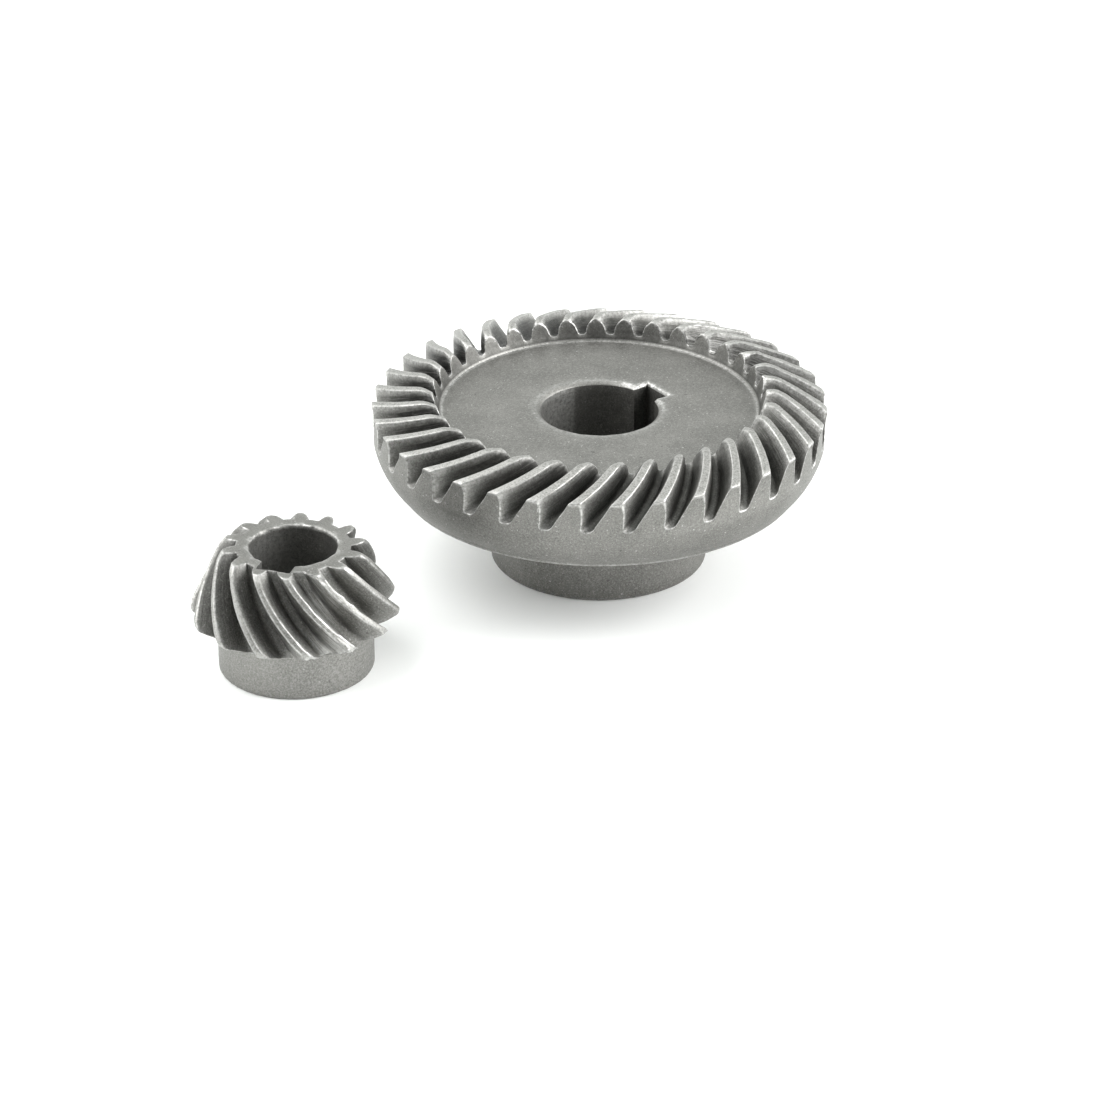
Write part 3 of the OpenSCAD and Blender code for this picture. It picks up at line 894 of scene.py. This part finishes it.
def blasted(g, place, grain, speck, marks):
    """The colour of bare steel: soft patches, pale grain, dark specks and pits, a few painted
    glints.
    """
    patches = g.noise(place, 220.0, 4.0, 0.55)
    pits = g.noise(place, 1300.0, 1.0, 0.5)
    glints = g.noise(place, 2900.0, 1.0, 0.5)
    base = g.mix(g.ramp(patches, 0.35, 0.65), STEEL_DARK, STEEL_PALE)
    grainy = g.math("MULTIPLY", g.ramp(grain, 0.45, 0.70), g.ramp(marks, 0.0, 1.0, 0.55, 0.95))
    base = g.mix(grainy, base, GRAIN)
    base = g.mix(g.ramp(speck, 0.57, 0.70, 0.0, 0.65), base, SPECK)
    base = g.mix(g.ramp(pits, 0.74, 0.78, 0.0, 0.5), base, PIT)
    # painted glints: a few specks of painted highlight
    return g.mix(g.ramp(glints, 0.725, 0.77, 0.0, 0.55), base, GLINT)


def dirtied_and_shaded(g, place, base):
    """Darkens the gaps and the bore with dirt and painted shade, unevenly at first and then all
    over.
    """
    gap, blotch = g.attribute("gap"), g.noise(place, 900.0, 3.0, 0.6)
    dark = g.math("MULTIPLY", g.ramp(gap, 0.02, FULL_GRIME_AND_SHADE), g.ramp(blotch, 0.3, 0.7, 0.6, 0.95))
    base = g.mix(dark, base, GRIME_AND_SHADE)
    return g.mix(g.ramp(gap, FULL_GRIME_AND_SHADE, 1.5 * FULL_GRIME_AND_SHADE), base, DEEP_GRIME_AND_SHADE)


def steel():
    """Blasted, sintered steel: speckled, lighter on worn edges, with a painted highlight on each
    land and painted light on one side of the bore, darker in the gaps with dirt and painted shade.
    """
    g = Graph("gear_steel")
    place = g.node("ShaderNodeTexCoord").outputs["Object"]
    lay, marks = g.attribute("lay", "Vector"), g.attribute("marks")
    stretched = g.node("ShaderNodeVectorMath", {0: lay, 1: (0.3, 4.5, 1.0)}, operation="MULTIPLY")
    streaks = g.noise(stretched.outputs[0], 1.0, 4.0, 0.7)
    grain = g.noise(place, 4800.0, 3.0, 0.6)
    speck = g.noise(place, 8600.0, 2.0, 0.5)
    nicks = g.noise(place, 2300.0, 3.0, 0.65)
    # colour
    base = dirtied_and_shaded(g, place, blasted(g, place, grain, speck, marks))
    streaked = g.math("MULTIPLY", marks, g.ramp(streaks, 0.52, 0.66))
    base = g.mix(g.math("MULTIPLY", streaked, 0.6), base, STREAK)
    scored = g.math("MULTIPLY", g.attribute("score"), streaks)
    base = g.mix(g.ramp(scored, 0.27, 0.48, 0.0, 0.7), base, SCORE)
    # painted highlight on each land, mottled by the grain
    land_highlight = g.math("MULTIPLY", g.attribute("land"), g.ramp(grain, 0.38, 0.62, 0.2, 0.9))
    base = g.mix(land_highlight, base, LAND_HIGHLIGHT)
    # the edge mask: wear and burrs, and painted light on one side of the bore
    nicked = g.ramp(nicks, 0.36, 0.62, 0.15, 0.9)
    worn = g.math("MULTIPLY", g.attribute("edge"), nicked, clamp=True)
    g.feed(g.shader.inputs["Base Color"], g.mix(worn, base, WORN_AND_LIT))
    # shine: worn edges, and the side of the bore with painted light, are smoother
    g.shader.inputs["Metallic"].default_value = 0.95
    rough = g.math("ADD", g.ramp(grain, 0.35, 0.7, 0.50, 0.60), g.math("MULTIPLY", worn, -0.15))
    g.feed(g.shader.inputs["Roughness"], rough)
    # relief: the grain, and the machining marks over it
    height = g.math("ADD", g.math("MULTIPLY", grain, 0.7), g.math("MULTIPLY", speck, 0.3))
    grain_bump = g.bump(height, 0.55, 0.06 * MM)
    ridges = g.bump(g.math("MULTIPLY", marks, streaks), 0.7, 0.10 * MM, grain_bump)
    g.feed(g.shader.inputs["Normal"], ridges)
    return g.material


def pale_floor():
    """A pale studio sweep with a faint glow of its own, so that it comes out white."""
    g = Graph("studio_sweep")
    place = g.node("ShaderNodeTexCoord").outputs["Object"]
    tone = g.ramp(g.noise(place, 14.0, 3.0), 0.3, 0.7)
    base = g.mix(tone, (0.905, 0.915, 0.905, 1), (0.925, 0.93, 0.925, 1))
    g.feed(g.shader.inputs["Base Color"], base)
    g.shader.inputs["Roughness"].default_value = 0.9
    g.shader.inputs["Specular IOR Level"].default_value = 0.1
    g.shader.inputs["Emission Color"].default_value = (0.98, 1.0, 0.99, 1)
    g.shader.inputs["Emission Strength"].default_value = 0.07
    return g.material


# ---------------------------------------------------------------- the gears
SHARP_ANGLE = math.radians(38)
mounts = {m["name"]: m for m in frame["record"]["mounts"]}
finish = steel()
for node, body, make, mount in (
    ("crown_wheel", "crown_wheel", crown_wheel, "wheel_bore"),
    ("pinion", "pinion", pinion, "pinion_bore"),
):
    piece = make(Vector(mounts[mount]["pos_m"]))
    piece.data.materials.append(finish)
    piece.data.shade_smooth()
    piece.data.set_sharp_from_angle(angle=SHARP_ANGLE)
    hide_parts(node)
    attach(piece, body)

# ---------------------------------------------------------------- floor
FLOOR_HALF = 6.0
FLOOR_Z = -0.02 * MM  # a hair below the gears' standing faces, so that the two don't coincide
directions = ((-1, -1), (1, -1), (1, 1), (-1, 1))
corners = [(x * FLOOR_HALF, y * FLOOR_HALF, FLOOR_Z) for x, y in directions]
floor_mesh = bpy.data.meshes.new("floor")
floor_mesh.from_pydata(corners, [], [(0, 1, 2, 3)])
floor_mesh.materials.append(pale_floor())
floor = bpy.data.objects.new("floor", floor_mesh)
bpy.context.scene.collection.objects.link(floor)

# ---------------------------------------------------------------- light
centre = (cad_low + cad_high) / 2


def softbox(name, offset, size, power):
    """A round area light at an offset from the middle of the part, and turned towards it."""
    data = bpy.data.lights.new(name, "AREA")
    data.shape, data.size, data.energy = "DISK", size, power
    lamp = bpy.data.objects.new(name, data)
    lamp.location = centre + Vector(offset)
    lamp.rotation_euler = (centre - lamp.location).to_track_quat("-Z", "Y").to_euler()
    bpy.context.scene.collection.objects.link(lamp)


softbox("key", (-0.35, 0.45, 0.80), size=0.9, power=7.0)
softbox("right", (0.58, -0.57, 0.45), size=0.7, power=11.0)
softbox("left", (-0.75, 0.35, 0.42), size=0.6, power=2.4)

# the studio is dark on the side that the photograph was taken from, and pale elsewhere
DARK_SIDE = (-0.60, -0.76, 0.25)
STUDIO_COLOUR = (0.97, 1.0, 0.98, 1)
PALE, DARK = 1.30, 0.25  # brightness
DARK_FROM, DARK_TO = 0.1, 0.85  # cosines of the angle to the dark side that this falls between
world = bpy.data.worlds.new("studio")
world.use_nodes = True
sky = world.node_tree
facing = sky.nodes.new("ShaderNodeVectorMath")
facing.operation = "DOT_PRODUCT"
facing.inputs[1].default_value = DARK_SIDE
sky.links.new(sky.nodes.new("ShaderNodeTexCoord").outputs["Generated"], facing.inputs[0])
shade = sky.nodes.new("ShaderNodeMapRange")
for socket, value in enumerate((DARK_FROM, DARK_TO, PALE, DARK), start=1):
    shade.inputs[socket].default_value = value
sky.links.new(facing.outputs["Value"], shade.inputs[0])
sky.links.new(shade.outputs[0], sky.nodes["Background"].inputs[1])
sky.nodes["Background"].inputs[0].default_value = STUDIO_COLOUR
bpy.context.scene.world = world
bpy.context.scene.view_settings.view_transform = "Standard"

# ---------------------------------------------------------------- camera, as the photograph's
AIM = Vector((-4.57, 3.61, 0.07)) * MM
DISTANCE = 0.5
AZIMUTH, ELEVATION = math.radians(-38.3), math.radians(27.56)
SENSOR, LENS = 36.0, 136.15
along_floor = math.cos(ELEVATION)
back = Vector(
    (math.sin(AZIMUTH) * along_floor, -math.cos(AZIMUTH) * along_floor, math.sin(ELEVATION))
)
camera_data = bpy.data.cameras.new("camera")
camera_data.sensor_width, camera_data.lens = SENSOR, LENS
camera_data.clip_start, camera_data.clip_end = 0.01, 50.0
camera = bpy.data.objects.new("camera", camera_data)
camera.location = AIM + back * DISTANCE
camera.rotation_euler = (-back).to_track_quat("-Z", "Y").to_euler()
bpy.context.scene.collection.objects.link(camera)
bpy.context.scene.camera = camera
